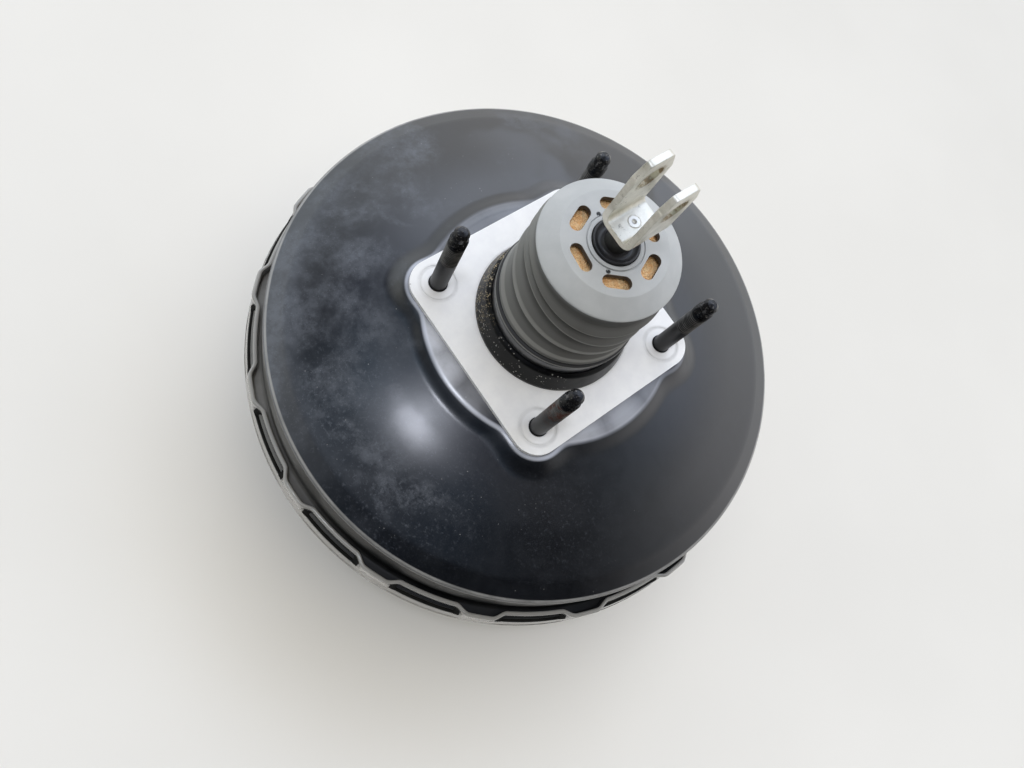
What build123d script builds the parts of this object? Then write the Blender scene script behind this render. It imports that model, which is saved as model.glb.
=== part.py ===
from build123d import *
import math
import os

os.makedirs("parts", exist_ok=True)

# Vacuum brake booster, ten-inch single diaphragm. Millimetres.
# Origin: centre of the firewall mounting face (top of the mounting plate).
# +Z: along the input rod, towards the pedal. X and Y: along the sides of the stud rectangle.

# ---------------------------------------------------------------- driving dimensions
stud_dx, stud_dy = 78.0, 76.0      # firewall stud spacing along X and along Y
stud_r = 4.0                       # M8 thread, outside radius
stud_len = 49.5                    # stud tip above the mounting face
shank_r = 4.4                      # stud shank inside the sheet
stud_hole_r = 4.5
plate_half = 51.0                  # half width of the square mounting plate
plate_corner = 12.0
plate_t = 2.5

rear_t = 1.8                       # rear shell sheet
rim_r = 128.0                      # rear shell side wall, outside
flange_r = 133.2                   # crimp flange of the rear shell
flange_top = -55.2
platform_a, platform_n = 58.0, 3.6   # superellipse of the raised square platform
platform_slope = 1.1               # run over rise of the platform's side
neck_in, neck_out, neck_top = 30.5, 32.3, 19.2

front_t = 2.0                      # front shell sheet
skirt_r = 134.4                    # middle of the skirt sheet at the lobes
pressed_r = 131.3                  # middle of the sheet where it is pressed in
skirt_top, strip_bottom, window_bottom = -48.4, -54.4, -57.0
lobes = 16
front_face = -119.0                # master cylinder face
pilot_r = 25.0
front_stud_x = 41.0
front_stud_tip = -143.0

tube_r = 26.0                      # valve body tube
tube_top = 62.0
travel = 32.0                      # full stroke of the power piston
lost_motion = 1.8                  # input rod against the valve body

rod_r = 5.0
boot_r = 30.4                      # drum at the pedal end of the boot
boot_face = 73.6
vent_r, vent_n, vent_phase = 16.3, 6, -156.6
clevis_gap, clevis_t = 11.4, 2.6
clevis_base, clevis_top = 90.2, 123.2
clevis_half = 9.4
pin_r, pin_z = 5.1, 112.0


# ---------------------------------------------------------------- profile helpers
def _segments(pts, closed):
    """Corner points (x, y, fillet) as lines and arcs."""
    n = len(pts)
    corner = {}
    for i in range(n):
        f = pts[i][2] if len(pts[i]) > 2 else 0.0
        if f <= 0 or (not closed and i in (0, n - 1)):
            continue
        ax, ay = pts[i - 1][:2]
        bx, by = pts[i][:2]
        cx, cy = pts[(i + 1) % n][:2]
        ux, uy = bx - ax, by - ay
        vx, vy = cx - bx, cy - by
        lu, lv = math.hypot(ux, uy), math.hypot(vx, vy)
        ux, uy, vx, vy = ux / lu, uy / lu, vx / lv, vy / lv
        turn = math.atan2(ux * vy - uy * vx, ux * vx + uy * vy)
        t = f * math.tan(abs(turn) / 2)
        s = 1.0 if turn > 0 else -1.0
        p0 = (bx - ux * t, by - uy * t)
        p1 = (bx + vx * t, by + vy * t)
        c = (p0[0] - uy * f * s, p0[1] + ux * f * s)
        corner[i] = (p0, p1, c, f, s)
    out = []
    last = None
    count = n + 1 if closed else n
    for k in range(count):
        i = k % n
        here = corner.get(i)
        start = here[0] if here else pts[i][:2]
        if last is not None and math.dist(last, start) > 1e-7:
            out.append(("L", last, start))
        if k == count - 1 and closed:
            break
        if here:
            out.append(("A", here[0], here[1], here[2], here[3], here[4]))
            last = here[1]
        else:
            last = tuple(start)
            if k == 0:
                last = tuple(start)
    return out


def _shift(seg, d):
    """One segment moved d to the left of its direction."""
    if seg[0] == "L":
        (x0, y0), (x1, y1) = seg[1], seg[2]
        l = math.hypot(x1 - x0, y1 - y0)
        nx, ny = -(y1 - y0) / l * d, (x1 - x0) / l * d
        return ("L", (x0 + nx, y0 + ny), (x1 + nx, y1 + ny))
    _, p0, p1, c, f, s = seg
    g = f - s * d
    q0 = (c[0] + (p0[0] - c[0]) * g / f, c[1] + (p0[1] - c[1]) * g / f)
    q1 = (c[0] + (p1[0] - c[0]) * g / f, c[1] + (p1[1] - c[1]) * g / f)
    return ("A", q0, q1, c, g, s)


def _edge(seg, place, back=False):
    p0, p1 = seg[1], seg[2]
    if seg[0] == "L":
        a, b = (p1, p0) if back else (p0, p1)
        return Edge.make_line(place(a), place(b))
    c, g = seg[3], seg[4]
    mx, my = (p0[0] + p1[0]) / 2 - c[0], (p0[1] + p1[1]) / 2 - c[1]
    m = math.hypot(mx, my)
    mid = (c[0] + mx / m * g, c[1] + my / m * g)
    a, b = (p1, p0) if back else (p0, p1)
    return Edge.make_three_point_arc(place(a), place(mid), place(b))


def rz(p):
    return Vector(p[0], 0, p[1])


def xy(p):
    return Vector(p[0], p[1], 0)


def loop(pts, place=rz):
    """Closed outline with filleted corners, as a face."""
    return Face(Wire([_edge(s, place) for s in _segments(pts, True)]))


def strip(pts, t, place=rz):
    """Open path thickened to a sheet of thickness t, as a face."""
    segs = _segments(pts, False)
    left = [_shift(s, t / 2) for s in segs]
    right = [_shift(s, -t / 2) for s in segs]
    edges = [_edge(s, place) for s in left]
    edges.append(Edge.make_line(place(left[-1][2]), place(right[-1][2])))
    edges += [_edge(s, place, True) for s in reversed(right)]
    edges.append(Edge.make_line(place(right[0][1]), place(left[0][1])))
    return Face(Wire(edges))


def rev(pts):
    return revolve(loop(pts), Axis.Z, 360)


def rev_sheet(pts, t):
    return revolve(strip(pts, t), Axis.Z, 360)


def cyl(r, z0, z1, x=0.0, y=0.0):
    return Pos(x, y, (z0 + z1) / 2) * Cylinder(r, abs(z1 - z0))


def tube(r0, r1, z0, z1, x=0.0, y=0.0):
    return cyl(r1, z0, z1, x, y) - cyl(r0, min(z0, z1) - 1, max(z0, z1) + 1, x, y)


def spring(r_low, r_high, wire, z_low, z_high, turns, x=0.0, y=0.0):
    """Open round-wire compression spring between two coil centre heights."""
    h = z_high - z_low
    cone = math.degrees(math.atan2(r_high - r_low, h))
    path = Helix(pitch=h / turns, height=h, radius=r_low, center=(x, y, z_low), cone_angle=cone)
    start = path @ 0
    section = Plane(origin=start, z_dir=path % 0) * Circle(wire)
    return sweep(section, path=path, is_frenet=True)


def save(name, shape):
    solids = shape.solids()
    body = solids[0] if len(solids) == 1 else Compound(children=list(solids))
    body.label = name
    export_step(body, "parts/" + name + ".step")


stud_xy = [(sx * stud_dx / 2, sy * stud_dy / 2) for sx in (-1, 1) for sy in (-1, 1)]


# ---------------------------------------------------------------- rear shell
def superellipse(a, z, n=platform_n, count=72):
    pts = []
    for i in range(count):
        t = 2 * math.pi * i / count
        c, s = math.cos(t), math.sin(t)
        r = a / (abs(c) ** n + abs(s) ** n) ** (1.0 / n)
        pts.append(Vector(r * c, r * s, z))
    return Face(Wire([Edge.make_spline(pts, periodic=True)]))


# outside of the dome: crown, cone, steeper outer ring, rounded corner, side wall
dome_path = [(20.0, -3.0), (50.0, -3.0, 60.0), (88.0, -11.2, 200.0), (118.5, -22.0, 22.0),
             (rim_r, -27.2, 3.4), (rim_r, flange_top - 4.0)]


def dome_solid(d):
    segs = [_shift(s, d) for s in _segments(dome_path, False)]
    edges = [_edge(s, rz) for s in segs]
    a, b = segs[0][1], segs[-1][2]
    low = flange_top - 4.0
    edges += [Edge.make_line(rz(b), rz((0.0, low))), Edge.make_line(rz((0.0, low)), rz((0.0, a[1]))),
              Edge.make_line(rz((0.0, a[1])), rz(a))]
    return revolve(Face(Wire(edges)), Axis.Z, 360)


top = -plate_t
rise = 13.0
outer_platform = loft([superellipse(platform_a, top), superellipse(platform_a + rise * platform_slope, top - rise)])
outer_platform = fillet(outer_platform.faces().sort_by(Axis.Z)[-1].edges(), 3.6)
inner_platform = loft([superellipse(platform_a - 1.6, top - rear_t),
                       superellipse(platform_a - 1.6 + rise * platform_slope, top - rear_t - rise)])
inner_platform = fillet(inner_platform.faces().sort_by(Axis.Z)[-1].edges(), 2.0)
outside = dome_solid(0.0) + outer_platform
try:
    foot = [e for e in outside.edges() if -12.0 < e.center().Z < -4.6 and e.bounding_box().size.X > 90
            and e.geom_type != GeomType.CIRCLE]
    outside = fillet(foot, 3.0)
except Exception:
    outside = outside
inside = dome_solid(-rear_t) + inner_platform
rear = outside - inside
# the solid blocks were closed at the bottom: keep only the sheet above the flange
rear = rear & cyl(160.0, flange_top - 1.0, 60.0)
# crimp flange turned outwards at the foot of the side wall
rear = rear + rev_sheet([(rim_r - rear_t / 2, flange_top + 2.0), (rim_r - rear_t / 2, flange_top - rear_t / 2, 1.7),
                         (flange_r, flange_top - rear_t / 2)], rear_t)
# drawn neck
rear = rear - cyl(neck_in, -30.0, 30.0)
rear = rear + rev([(neck_in, -4.3), (neck_out, -4.3), (neck_out, neck_top, 0.8), (neck_in, neck_top, 0.8)])
for x, y in stud_xy:
    rear = rear - cyl(stud_hole_r, -12.0, 2.0, x, y)
save("rear_shell", rear)

# ---------------------------------------------------------------- mounting plate and studs
q = plate_half
plate = extrude(loop([(-q, -q, plate_corner), (q, -q, plate_corner), (q, q, plate_corner), (-q, q, plate_corner)], xy),
                amount=-plate_t, dir=(0, 0, 1))
plate = plate - cyl(neck_out + 0.1, -5.0, 2.0)
# shallow seat for the collar
plate = plate - cyl(37.4, -0.3, 1.0)
for x, y in stud_xy:
    plate = plate - cyl(stud_hole_r, -5.0, 2.0, x, y)
    # shallow pressed ring round each stud
    plate = plate - (tube(8.0, 8.6, -0.25, 1.0, x, y))
save("mounting_plate", plate)


def stud(tip, root, head_r, head_t, face, thread_from, sign):
    """Stud with a round head under the sheet, a pressed-in shank, ring-cut thread and a rounded dog point."""
    pts = [(0.0, root), (head_r, root), (head_r, root + sign * head_t), (shank_r, root + sign * head_t),
           (shank_r, face - sign * 0.05), (stud_r, face - sign * 0.05), (stud_r, thread_from)]
    pitch = 1.25
    z = thread_from
    end = tip - sign * 5.6
    while sign * (end - z) > pitch:
        pts += [(stud_r - 0.62, z + sign * pitch * 0.40), (stud_r - 0.62, z + sign * pitch * 0.55),
                (stud_r, z + sign * pitch)]
        z += sign * pitch
    pts += [(3.05, z + sign * 0.9), (3.05, z + sign * 1.6), (3.35, z + sign * 2.0), (3.35, tip - sign * 1.8),
            (2.2, tip - sign * 0.4), (0.0, tip)]
    return revolve(Face(Wire.make_polygon([rz(p) for p in pts], close=True)), Axis.Z, 360)


one = stud(stud_len, -7.8, 8.0, 3.5, 0.0, 24.0, 1.0)
save("firewall_studs", Compound(children=[Pos(x, y, 0) * one for x, y in stud_xy]))

# soft collar round the neck, between the plate and the bulkhead
save("firewall_collar", rev([(32.6, 0.0), (36.6, 0.0), (36.6, 1.6, 1.0), (34.3, 11.2, 1.6), (32.6, 12.2)]))

# ---------------------------------------------------------------- neck bearing and seal
save("neck_bearing", rev([(26.05, 0.0, 0.4), (30.45, 0.0), (30.45, 8.0), (26.05, 8.0, 0.4)]))
save("neck_seal", rev([(26.3, 8.4), (30.2, 8.4), (30.2, 15.4), (29.0, 15.4), (28.4, 10.8, 0.6), (27.6, 10.8, 0.6),
                       (26.9, 14.8), (26.3, 14.8)]))

# ---------------------------------------------------------------- front shell
path = []
half_lobe, half_strip = 2.5, 5.2
for i in range(lobes):
    c = 360.0 / lobes * i
    for a, r, f in ((c - half_strip, pressed_r, 4.5), (c - half_lobe, skirt_r, 4.5),
                    (c + half_lobe, skirt_r, 4.5), (c + half_strip, pressed_r, 4.5)):
        path.append((r * math.cos(math.radians(a)), r * math.sin(math.radians(a)), f))
segs = _segments(path, True)
band_out = Face(Wire([_edge(_shift(s, -front_t / 2), xy) for s in segs]))
band_in = Face(Wire([_edge(_shift(s, front_t / 2), xy) for s in segs]))
band = Pos(0, 0, strip_bottom) * extrude(band_out, amount=skirt_top - strip_bottom, dir=(0, 0, 1))
band = band - Pos(0, 0, strip_bottom - 1) * extrude(band_in, amount=skirt_top - strip_bottom + 2, dir=(0, 0, 1))
front = rev_sheet([(skirt_r, strip_bottom), (skirt_r + 0.6, -68.0, 3.6), (125.0, -68.0, 3.2), (125.0, -80.0, 14.0),
                   (112.0, -104.0, 10.0), (74.0, -104.0, 6.0), (64.0, front_face + front_t / 2, 6.0),
                   (pilot_r, front_face + front_t / 2)], front_t)
front = front + band
# lanced windows below the pressed-in strips
for i in range(lobes):
    c = math.radians(360.0 / lobes * (i + 0.5))
    w = 2 * skirt_r * math.sin(math.radians(360.0 / lobes / 2 - 4.9))
    cut = Pos(0, 0, (strip_bottom + window_bottom) / 2) * Box(16.0, w, strip_bottom - window_bottom)
    front = front - Rot(0, 0, math.degrees(c)) * Pos(skirt_r + 2.0, 0, 0) * cut
for x in (-front_stud_x, front_stud_x):
    front = front - cyl(stud_hole_r, -125.0, -110.0, x, 0)
port_y = 91.5
front = front - cyl(11.3, -110.0, -98.0, 0, port_y)
save("front_shell", front)

reinforcement = tube(26.2, 57.0, -116.9, -114.5)
for x in (-front_stud_x, front_stud_x):
    reinforcement = reinforcement - cyl(stud_hole_r, -120.0, -110.0, x, 0)
save("front_reinforcement", reinforcement)
fs = stud(front_stud_tip, -111.0, 6.5, 3.5, front_face, -124.0, -1.0)
save("cylinder_studs", Compound(children=[Pos(x, 0, 0) * fs for x in (-front_stud_x, front_stud_x)]))
save("cylinder_seal", rev([(20.5, -121.0, 0.6), (24.7, -121.0, 0.6), (24.7, -114.2), (27.3, -114.2), (27.3, -112.4, 0.5),
                           (20.5, -112.4, 0.5)]))

# ---------------------------------------------------------------- power piston
valve_body = rev([(22.0, tube_top), (tube_r, tube_top, 0.8), (tube_r, -14.0, 2.0), (44.0, -14.0, 0.8), (44.0, -19.0),
                  (41.8, -19.0), (41.8, -26.0, 0.8), (30.0, -26.0, 1.5), (30.0, -50.0, 0.8), (15.1, -50.0), (15.1, -40.0),
                  (8.05, -40.0), (8.05, -14.0), (14.0, -14.0), (14.0, 6.0), (22.0, 6.0)])
# stiffening pockets in the flange and the slot for the stop key
valve_body = valve_body - Pos(20.5, 0, -18.5) * Box(59.6, 18.6, 3.6)
for k in range(8):
    a = 22.5 + 45.0 * k
    valve_body = valve_body - Rot(0, 0, a) * Pos(36.0, 0, -24.0) * Box(7.0, 9.0, 5.0)
save("valve_body", valve_body)
key = Pos(13.0, 0, -18.5) * Box(42.0, 18.0, 3.0) - Pos(0.0, 0, -18.5) * Box(40.0, 12.6, 4.0)
key = key - (Pos(20.0, 0, -18.5) * Cylinder(6.3, 4.0))
save("stop_key", key)

save("diaphragm_plate", rev_sheet([(42.1, -19.8), (64.0, -19.8, 6.0), (104.0, -32.5, 4.0), (110.0, -42.0)], 1.6))
web = rev_sheet([(46.0, -17.4), (64.5, -17.4, 6.0), (105.6, -30.4, 6.0), (113.0, -42.0, 6.0), (114.6, -59.5, 3.4),
                 (121.0, -62.0, 3.0), (129.0, -62.0)], 2.0)
inner_bead = rev([(44.4, -18.6, 0.8), (49.5, -18.6, 0.8), (49.5, -13.0, 1.2), (44.4, -13.0, 1.2)])
outer_bead = rev([(127.3, -66.7, 1.5), (132.7, -66.7, 1.5), (132.7, -57.3, 1.5), (127.3, -57.3, 1.5)])
save("diaphragm", web + inner_bead + outer_bead)

save("return_spring", spring(29.5, 36.0, 1.75, -112.6, -28.0, 6.5))

save("reaction_disc", rev([(0.0, -45.6), (14.8, -45.6), (14.8, -40.3), (0.0, -40.3)]))
save("output_rod", rev([(0.0, -46.0), (15.0, -46.0), (15.0, -50.0), (6.0, -50.0, 1.5), (6.0, -117.0), (3.1, -117.0),
                        (3.1, -104.0), (0.0, -104.0)]))
save("output_screw", rev([(0.0, -104.6), (3.0, -104.6), (3.0, -117.2), (5.2, -117.2), (5.2, -121.2), (4.2, -121.2),
                          (4.2, -129.0, 1.6), (0.0, -131.0)]))
save("output_retainer", rev([(6.6, -51.6, 0.5), (31.4, -51.6, 1.2), (31.4, -42.0), (30.1, -42.0), (30.1, -50.3),
                             (6.6, -50.3)]))

# ---------------------------------------------------------------- control valve
plunger = rev([(0.0, -38.2), (8.0, -38.2), (8.0, -24.0), (6.0, -24.0), (6.0, -14.5), (8.0, -14.5), (8.0, -12.0),
               (12.0, -12.0), (12.0, 6.1), (8.6, 6.1), (6.05, 3.0), (6.05, -3.0), (0.0, -3.0)])
plunger = plunger - Pos(0, 0, -3.0) * Sphere(6.05)
save("air_valve_plunger", plunger)
save("poppet", rev([(9.0, 6.4), (19.6, 6.4), (19.6, 26.0), (21.7, 26.0), (21.7, 29.0), (17.2, 29.0), (17.2, 9.4),
                    (9.0, 9.4)]))
save("poppet_retainer", rev([(15.2, 20.0), (16.4, 20.0), (16.4, 29.4), (21.9, 29.4), (21.9, 31.0), (11.6, 31.0),
                             (11.6, 29.4), (15.2, 29.4)]))
save("poppet_spring", spring(13.4, 13.4, 0.55, 10.1, 28.7, 5.5))
save("rod_return_spring", spring(13.2, 13.2, 0.8, 32.0, 53.5, 5.0))
save("rod_spring_seat", rev([(rod_r, 54.5), (15.5, 54.5), (15.5, 52.0), (16.3, 52.0), (16.3, 55.9, 0.5), (rod_r, 55.9)]))

# ---------------------------------------------------------------- input rod and clevis
rod = rev([(0.0, -3.0), (3.6, -3.0), (3.6, 6.0), (rod_r, 9.0), (rod_r, clevis_base - clevis_t),
           (2.6, clevis_base - clevis_t), (2.6, clevis_base), (2.3, clevis_base + 0.2),
           (0.9, clevis_base + 0.2), (0.0, clevis_base - 0.4)])
rod = rod + Pos(0, 0, -3.0) * Sphere(6.0)
save("input_rod", rod)

c = clevis_gap / 2 + clevis_t / 2
bracket = extrude(strip([(-c, clevis_top + 3), (-c, clevis_base - clevis_t / 2, 3.2), (c, clevis_base - clevis_t / 2, 3.2),
                         (c, clevis_top + 3)], clevis_t), amount=clevis_half, dir=(0, 1, 0), both=True)


def yz(p):
    return Vector(-20.0, p[0], p[1])


side = extrude(loop([(-clevis_half, 80.0), (-clevis_half, 116.6, 2.0), (-6.2, clevis_top, 2.0), (4.6, clevis_top - 0.2, 2.5),
                     (clevis_half, 113.4, 3.0), (clevis_half, 80.0)], yz), amount=40.0, dir=(1, 0, 0))
bracket = bracket & side
bracket = bracket - Pos(0, 0, pin_z) * Rot(0, 90, 0) * Cylinder(pin_r, 30.0)
bracket = bracket - cyl(2.6, 80.0, 95.0)
save("clevis", bracket)

save("rod_bush", rev([(5.2, 64.0), (9.7, 64.0), (9.7, 74.6, 0.4), (8.9, 74.6, 0.4), (8.2, 73.4, 0.4), (7.4, 73.1, 0.4),
                      (6.9, 72.2, 0.4), (5.2, 72.2)]))

# ---------------------------------------------------------------- boot, filter and silencer
boot = rev([(28.9, 16.2), (30.2, 16.2), (30.2, 19.5), (33.1, 19.5, 0.6), (33.3, 21.6, 0.6), (31.6, 22.0), (31.5, 23.4),
            (32.0, 24.0, 0.3), (29.7, 34.2), (30.8, 34.9, 0.3), (29.3, 46.9), (30.7, 47.6, 0.3), (29.5, 53.7), (30.8, 54.4, 0.3),
            (29.6, 61.5, 3.0), (boot_r, 68.4, 1.3), (22.2, boot_face, 1.5), (12.2, boot_face), (12.2, boot_face - 0.6),
            (11.6, boot_face - 0.6), (11.6, boot_face + 0.3), (10.0, boot_face + 0.3), (10.0, 71.3), (21.2, 71.3),
            (27.9, 66.8), (27.9, 60.6), (26.4, 60.6), (26.4, 58.0), (28.0, 57.0), (28.0, 22.0), (28.9, 19.5)])
for k in range(vent_n):
    a = vent_phase + 360.0 / vent_n * k
    slot = Pos(vent_r, 0, 72.0) * (Box(5.0, 6.6, 6.0) + Pos(0, 3.3, 0) * Cylinder(2.5, 6.0) + Pos(0, -3.3, 0) * Cylinder(2.5, 6.0))
    boot = boot - Rot(0, 0, a) * slot
save("dust_boot", boot)
save("air_filter", rev([(10.3, 62.6), (26.5, 62.6), (26.5, 65.8), (21.2, 69.6), (10.3, 69.6)]))
save("silencer_felt", rev([(6.0, 56.6), (21.6, 56.6), (21.6, 61.6), (6.0, 61.6)]))

# ---------------------------------------------------------------- vacuum check valve
save("valve_grommet", Pos(0, port_y, 0) * rev([(8.3, -99.8), (13.2, -99.8, 1.0), (13.2, -102.6, 0.6), (11.0, -102.6),
                                               (11.0, -105.4), (13.8, -105.4, 0.6), (13.8, -108.2, 1.0), (8.3, -108.2)]))
save("check_valve_body", Pos(0, port_y, 0) * rev([(5.0, -98.0), (8.0, -98.0, 0.8), (8.0, -108.5), (12.0, -108.5, 0.6),
                                                  (12.0, -112.0, 0.6), (7.2, -112.0), (7.2, -110.6), (5.0, -110.6)]))
elbow = Pos(0, port_y, 0) * rev([(7.2, -112.0), (10.4, -112.0), (10.4, -127.0, 2.0), (0.0, -127.0), (0.0, -125.2),
                                 (7.2, -125.2)])
barb = loop([(0.0, 9.0), (5.2, 9.0), (5.2, 17.0), (6.1, 17.0), (6.1, 18.2), (5.2, 21.5), (5.2, 22.5), (6.1, 22.5),
             (6.1, 23.7), (5.2, 27.0), (5.2, 28.0), (6.1, 28.0), (6.1, 29.2), (4.8, 34.5), (4.8, 36.0, 0.5), (0.0, 36.0)])
nipple = Pos(0, port_y, -120.0) * Rot(-90, 0, 0) * revolve(barb, Axis.Z, 360)
elbow = elbow + nipple
elbow = elbow - Pos(0, port_y + 22.0, -120.0) * Rot(90, 0, 0) * Cylinder(3.1, 32.0)
save("check_valve_elbow", elbow)
save("check_valve_poppet", Pos(0, port_y, 0) * rev([(0.0, -111.0), (6.8, -111.0), (6.8, -112.6), (2.6, -112.6),
                                                    (2.6, -116.0), (0.0, -116.0)]))
save("check_valve_spring", spring(4.2, 4.2, 0.4, -124.6, -113.2, 5.0, 0.0, port_y))
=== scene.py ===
import bpy
import bmesh
import math
import numpy as np
from mathutils import Vector, Matrix


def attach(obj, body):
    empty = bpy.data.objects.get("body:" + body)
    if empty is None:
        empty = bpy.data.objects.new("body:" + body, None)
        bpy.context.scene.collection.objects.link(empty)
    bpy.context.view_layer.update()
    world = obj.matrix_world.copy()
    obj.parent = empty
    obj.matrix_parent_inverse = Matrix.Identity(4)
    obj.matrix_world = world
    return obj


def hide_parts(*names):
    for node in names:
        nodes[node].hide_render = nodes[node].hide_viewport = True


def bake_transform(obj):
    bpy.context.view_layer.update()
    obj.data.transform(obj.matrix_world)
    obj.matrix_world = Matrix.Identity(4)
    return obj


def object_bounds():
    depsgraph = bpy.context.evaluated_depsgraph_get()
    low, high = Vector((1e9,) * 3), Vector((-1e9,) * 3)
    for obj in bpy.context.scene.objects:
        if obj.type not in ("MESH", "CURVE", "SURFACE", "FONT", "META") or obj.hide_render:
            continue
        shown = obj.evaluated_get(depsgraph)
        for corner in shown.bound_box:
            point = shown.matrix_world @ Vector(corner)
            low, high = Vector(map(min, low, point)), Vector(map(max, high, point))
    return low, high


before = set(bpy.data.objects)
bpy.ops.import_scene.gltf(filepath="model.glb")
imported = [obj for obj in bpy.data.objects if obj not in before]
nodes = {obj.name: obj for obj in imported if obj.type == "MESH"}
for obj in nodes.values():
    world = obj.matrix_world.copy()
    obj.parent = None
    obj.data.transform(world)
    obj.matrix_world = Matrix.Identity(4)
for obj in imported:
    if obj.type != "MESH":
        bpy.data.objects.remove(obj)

box_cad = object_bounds()
scene = bpy.context.scene
MM = 0.001


# ============================================================ node material helper
class Graph:
    """A material's node tree, written as expressions."""

    def __init__(self, name):
        self.mat = bpy.data.materials.new(name)
        self.mat.use_nodes = True
        self.t = self.mat.node_tree
        self.t.nodes.clear()
        self.out = self.t.nodes.new("ShaderNodeOutputMaterial")
        self.bsdf = self.t.nodes.new("ShaderNodeBsdfPrincipled")
        self.t.links.new(self.bsdf.outputs[0], self.out.inputs[0])
        self.tc = self.t.nodes.new("ShaderNodeTexCoord")
        self.obj = self.tc.outputs["Object"]

    def node(self, kind, **props):
        n = self.t.nodes.new(kind)
        for k, v in props.items():
            setattr(n, k, v)
        return n

    def put(self, socket, value):
        if isinstance(value, bpy.types.NodeSocket):
            self.t.links.new(value, socket)
        elif value is not None:
            if socket.type == "RGBA" and len(value) == 3:
                value = (*value, 1.0)
            socket.default_value = value

    def math(self, op, a, b=None, c=None, clamp=False):
        n = self.node("ShaderNodeMath", operation=op, use_clamp=clamp)
        self.put(n.inputs[0], a)
        if b is not None:
            self.put(n.inputs[1], b)
        if c is not None:
            self.put(n.inputs[2], c)
        return n.outputs[0]

    def vmath(self, op, a, b=None, out=0):
        n = self.node("ShaderNodeVectorMath", operation=op)
        self.put(n.inputs[0], a)
        if b is not None:
            self.put(n.inputs[1], b)
        return n.outputs[out]

    def sep(self, v=None):
        n = self.node("ShaderNodeSeparateXYZ")
        self.put(n.inputs[0], self.obj if v is None else v)
        return n.outputs[0], n.outputs[1], n.outputs[2]

    def comb(self, x, y, z):
        n = self.node("ShaderNodeCombineXYZ")
        for s, v in zip(n.inputs, (x, y, z)):
            self.put(s, v)
        return n.outputs[0]

    def noise(self, scale, detail=4.0, rough=0.55, vec=None, distort=0.0, color=False):
        n = self.node("ShaderNodeTexNoise")
        self.put(n.inputs["Vector"], self.obj if vec is None else vec)
        n.inputs["Scale"].default_value = scale
        n.inputs["Detail"].default_value = detail
        n.inputs["Roughness"].default_value = rough
        n.inputs["Distortion"].default_value = distort
        return n.outputs["Color" if color else "Fac"]

    def voronoi(self, scale, vec=None, feature="F1", rnd=1.0, out="Distance"):
        n = self.node("ShaderNodeTexVoronoi", feature=feature)
        self.put(n.inputs["Vector"], self.obj if vec is None else vec)
        n.inputs["Scale"].default_value = scale
        n.inputs["Randomness"].default_value = rnd
        return n.outputs[out]

    def span(self, v, a, b, lo=0.0, hi=1.0, smooth=True):
        """v from a..b to lo..hi, clamped."""
        n = self.node("ShaderNodeMapRange", interpolation_type="SMOOTHSTEP" if smooth else "LINEAR")
        self.put(n.inputs["Value"], v)
        n.inputs["From Min"].default_value = a
        n.inputs["From Max"].default_value = b
        n.inputs["To Min"].default_value = lo
        n.inputs["To Max"].default_value = hi
        return n.outputs[0]

    def mix(self, f, a, b):
        n = self.node("ShaderNodeMix", data_type="RGBA")
        self.put(n.inputs[0], f)
        self.put(n.inputs[6], a)
        self.put(n.inputs[7], b)
        return n.outputs[2]

    def scaled(self, sx, sy, sz, vec=None):
        n = self.node("ShaderNodeMapping")
        self.put(n.inputs[0], self.obj if vec is None else vec)
        n.inputs["Scale"].default_value = (sx, sy, sz)
        return n.outputs[0]

    def turned(self, rx, ry, rz, vec=None):
        n = self.node("ShaderNodeMapping")
        self.put(n.inputs[0], self.obj if vec is None else vec)
        n.inputs["Rotation"].default_value = (rx, ry, rz)
        return n.outputs[0]

    def radius(self, x=0.0, y=0.0):
        """Distance from the vertical line through (x, y)."""
        px, py, _ = self.sep()
        dx = self.math("SUBTRACT", px, x)
        dy = self.math("SUBTRACT", py, y)
        return self.math("SQRT", self.math("ADD", self.math("MULTIPLY", dx, dx), self.math("MULTIPLY", dy, dy)))

    def near(self, p, r, soft=0.5):
        """1 inside a ball of radius r round p, falling to 0."""
        d = self.vmath("DISTANCE", self.obj, p, out=1)
        return self.span(d, r * (1 - soft), r, 1.0, 0.0)

    def bump(self, height, strength=0.3, distance=0.0005, normal=None):
        n = self.node("ShaderNodeBump")
        self.put(n.inputs["Height"], height)
        n.inputs["Strength"].default_value = strength
        n.inputs["Distance"].default_value = distance
        if normal is not None:
            self.put(n.inputs["Normal"], normal)
        return n.outputs[0]

    def pointiness(self):
        return self.node("ShaderNodeNewGeometry").outputs["Pointiness"]

    def normal(self):
        return self.node("ShaderNodeNewGeometry").outputs["Normal"]

    def done(self, color=None, rough=None, metal=None, normal=None, **sockets):
        b = self.bsdf
        self.put(b.inputs["Base Color"], color)
        self.put(b.inputs["Roughness"], rough)
        self.put(b.inputs["Metallic"], metal)
        self.put(b.inputs["Normal"], normal)
        self.put(b.inputs["Coat Normal"], normal)
        for k, v in sockets.items():
            self.put(b.inputs[k.replace("_", " ")], v)
        return self.mat


def dress(obj, mat):
    obj.data.materials.clear()
    obj.data.materials.append(mat)


# ============================================================ materials
def rounded(g, radius, normal=None):
    """Slightly rounded edges, as pressed or moulded edges have."""
    n = g.node("ShaderNodeBevel", samples=4)
    n.inputs["Radius"].default_value = radius
    if normal is not None:
        g.put(n.inputs["Normal"], normal)
    return n.outputs[0]


def turned_frame(g, cx, cy, deg):
    """Object coordinates about (cx, cy), turned about Z."""
    p = g.vmath("SUBTRACT", g.obj, (cx, cy, 0.0))
    return g.turned(0, 0, math.radians(-deg), p)


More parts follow.
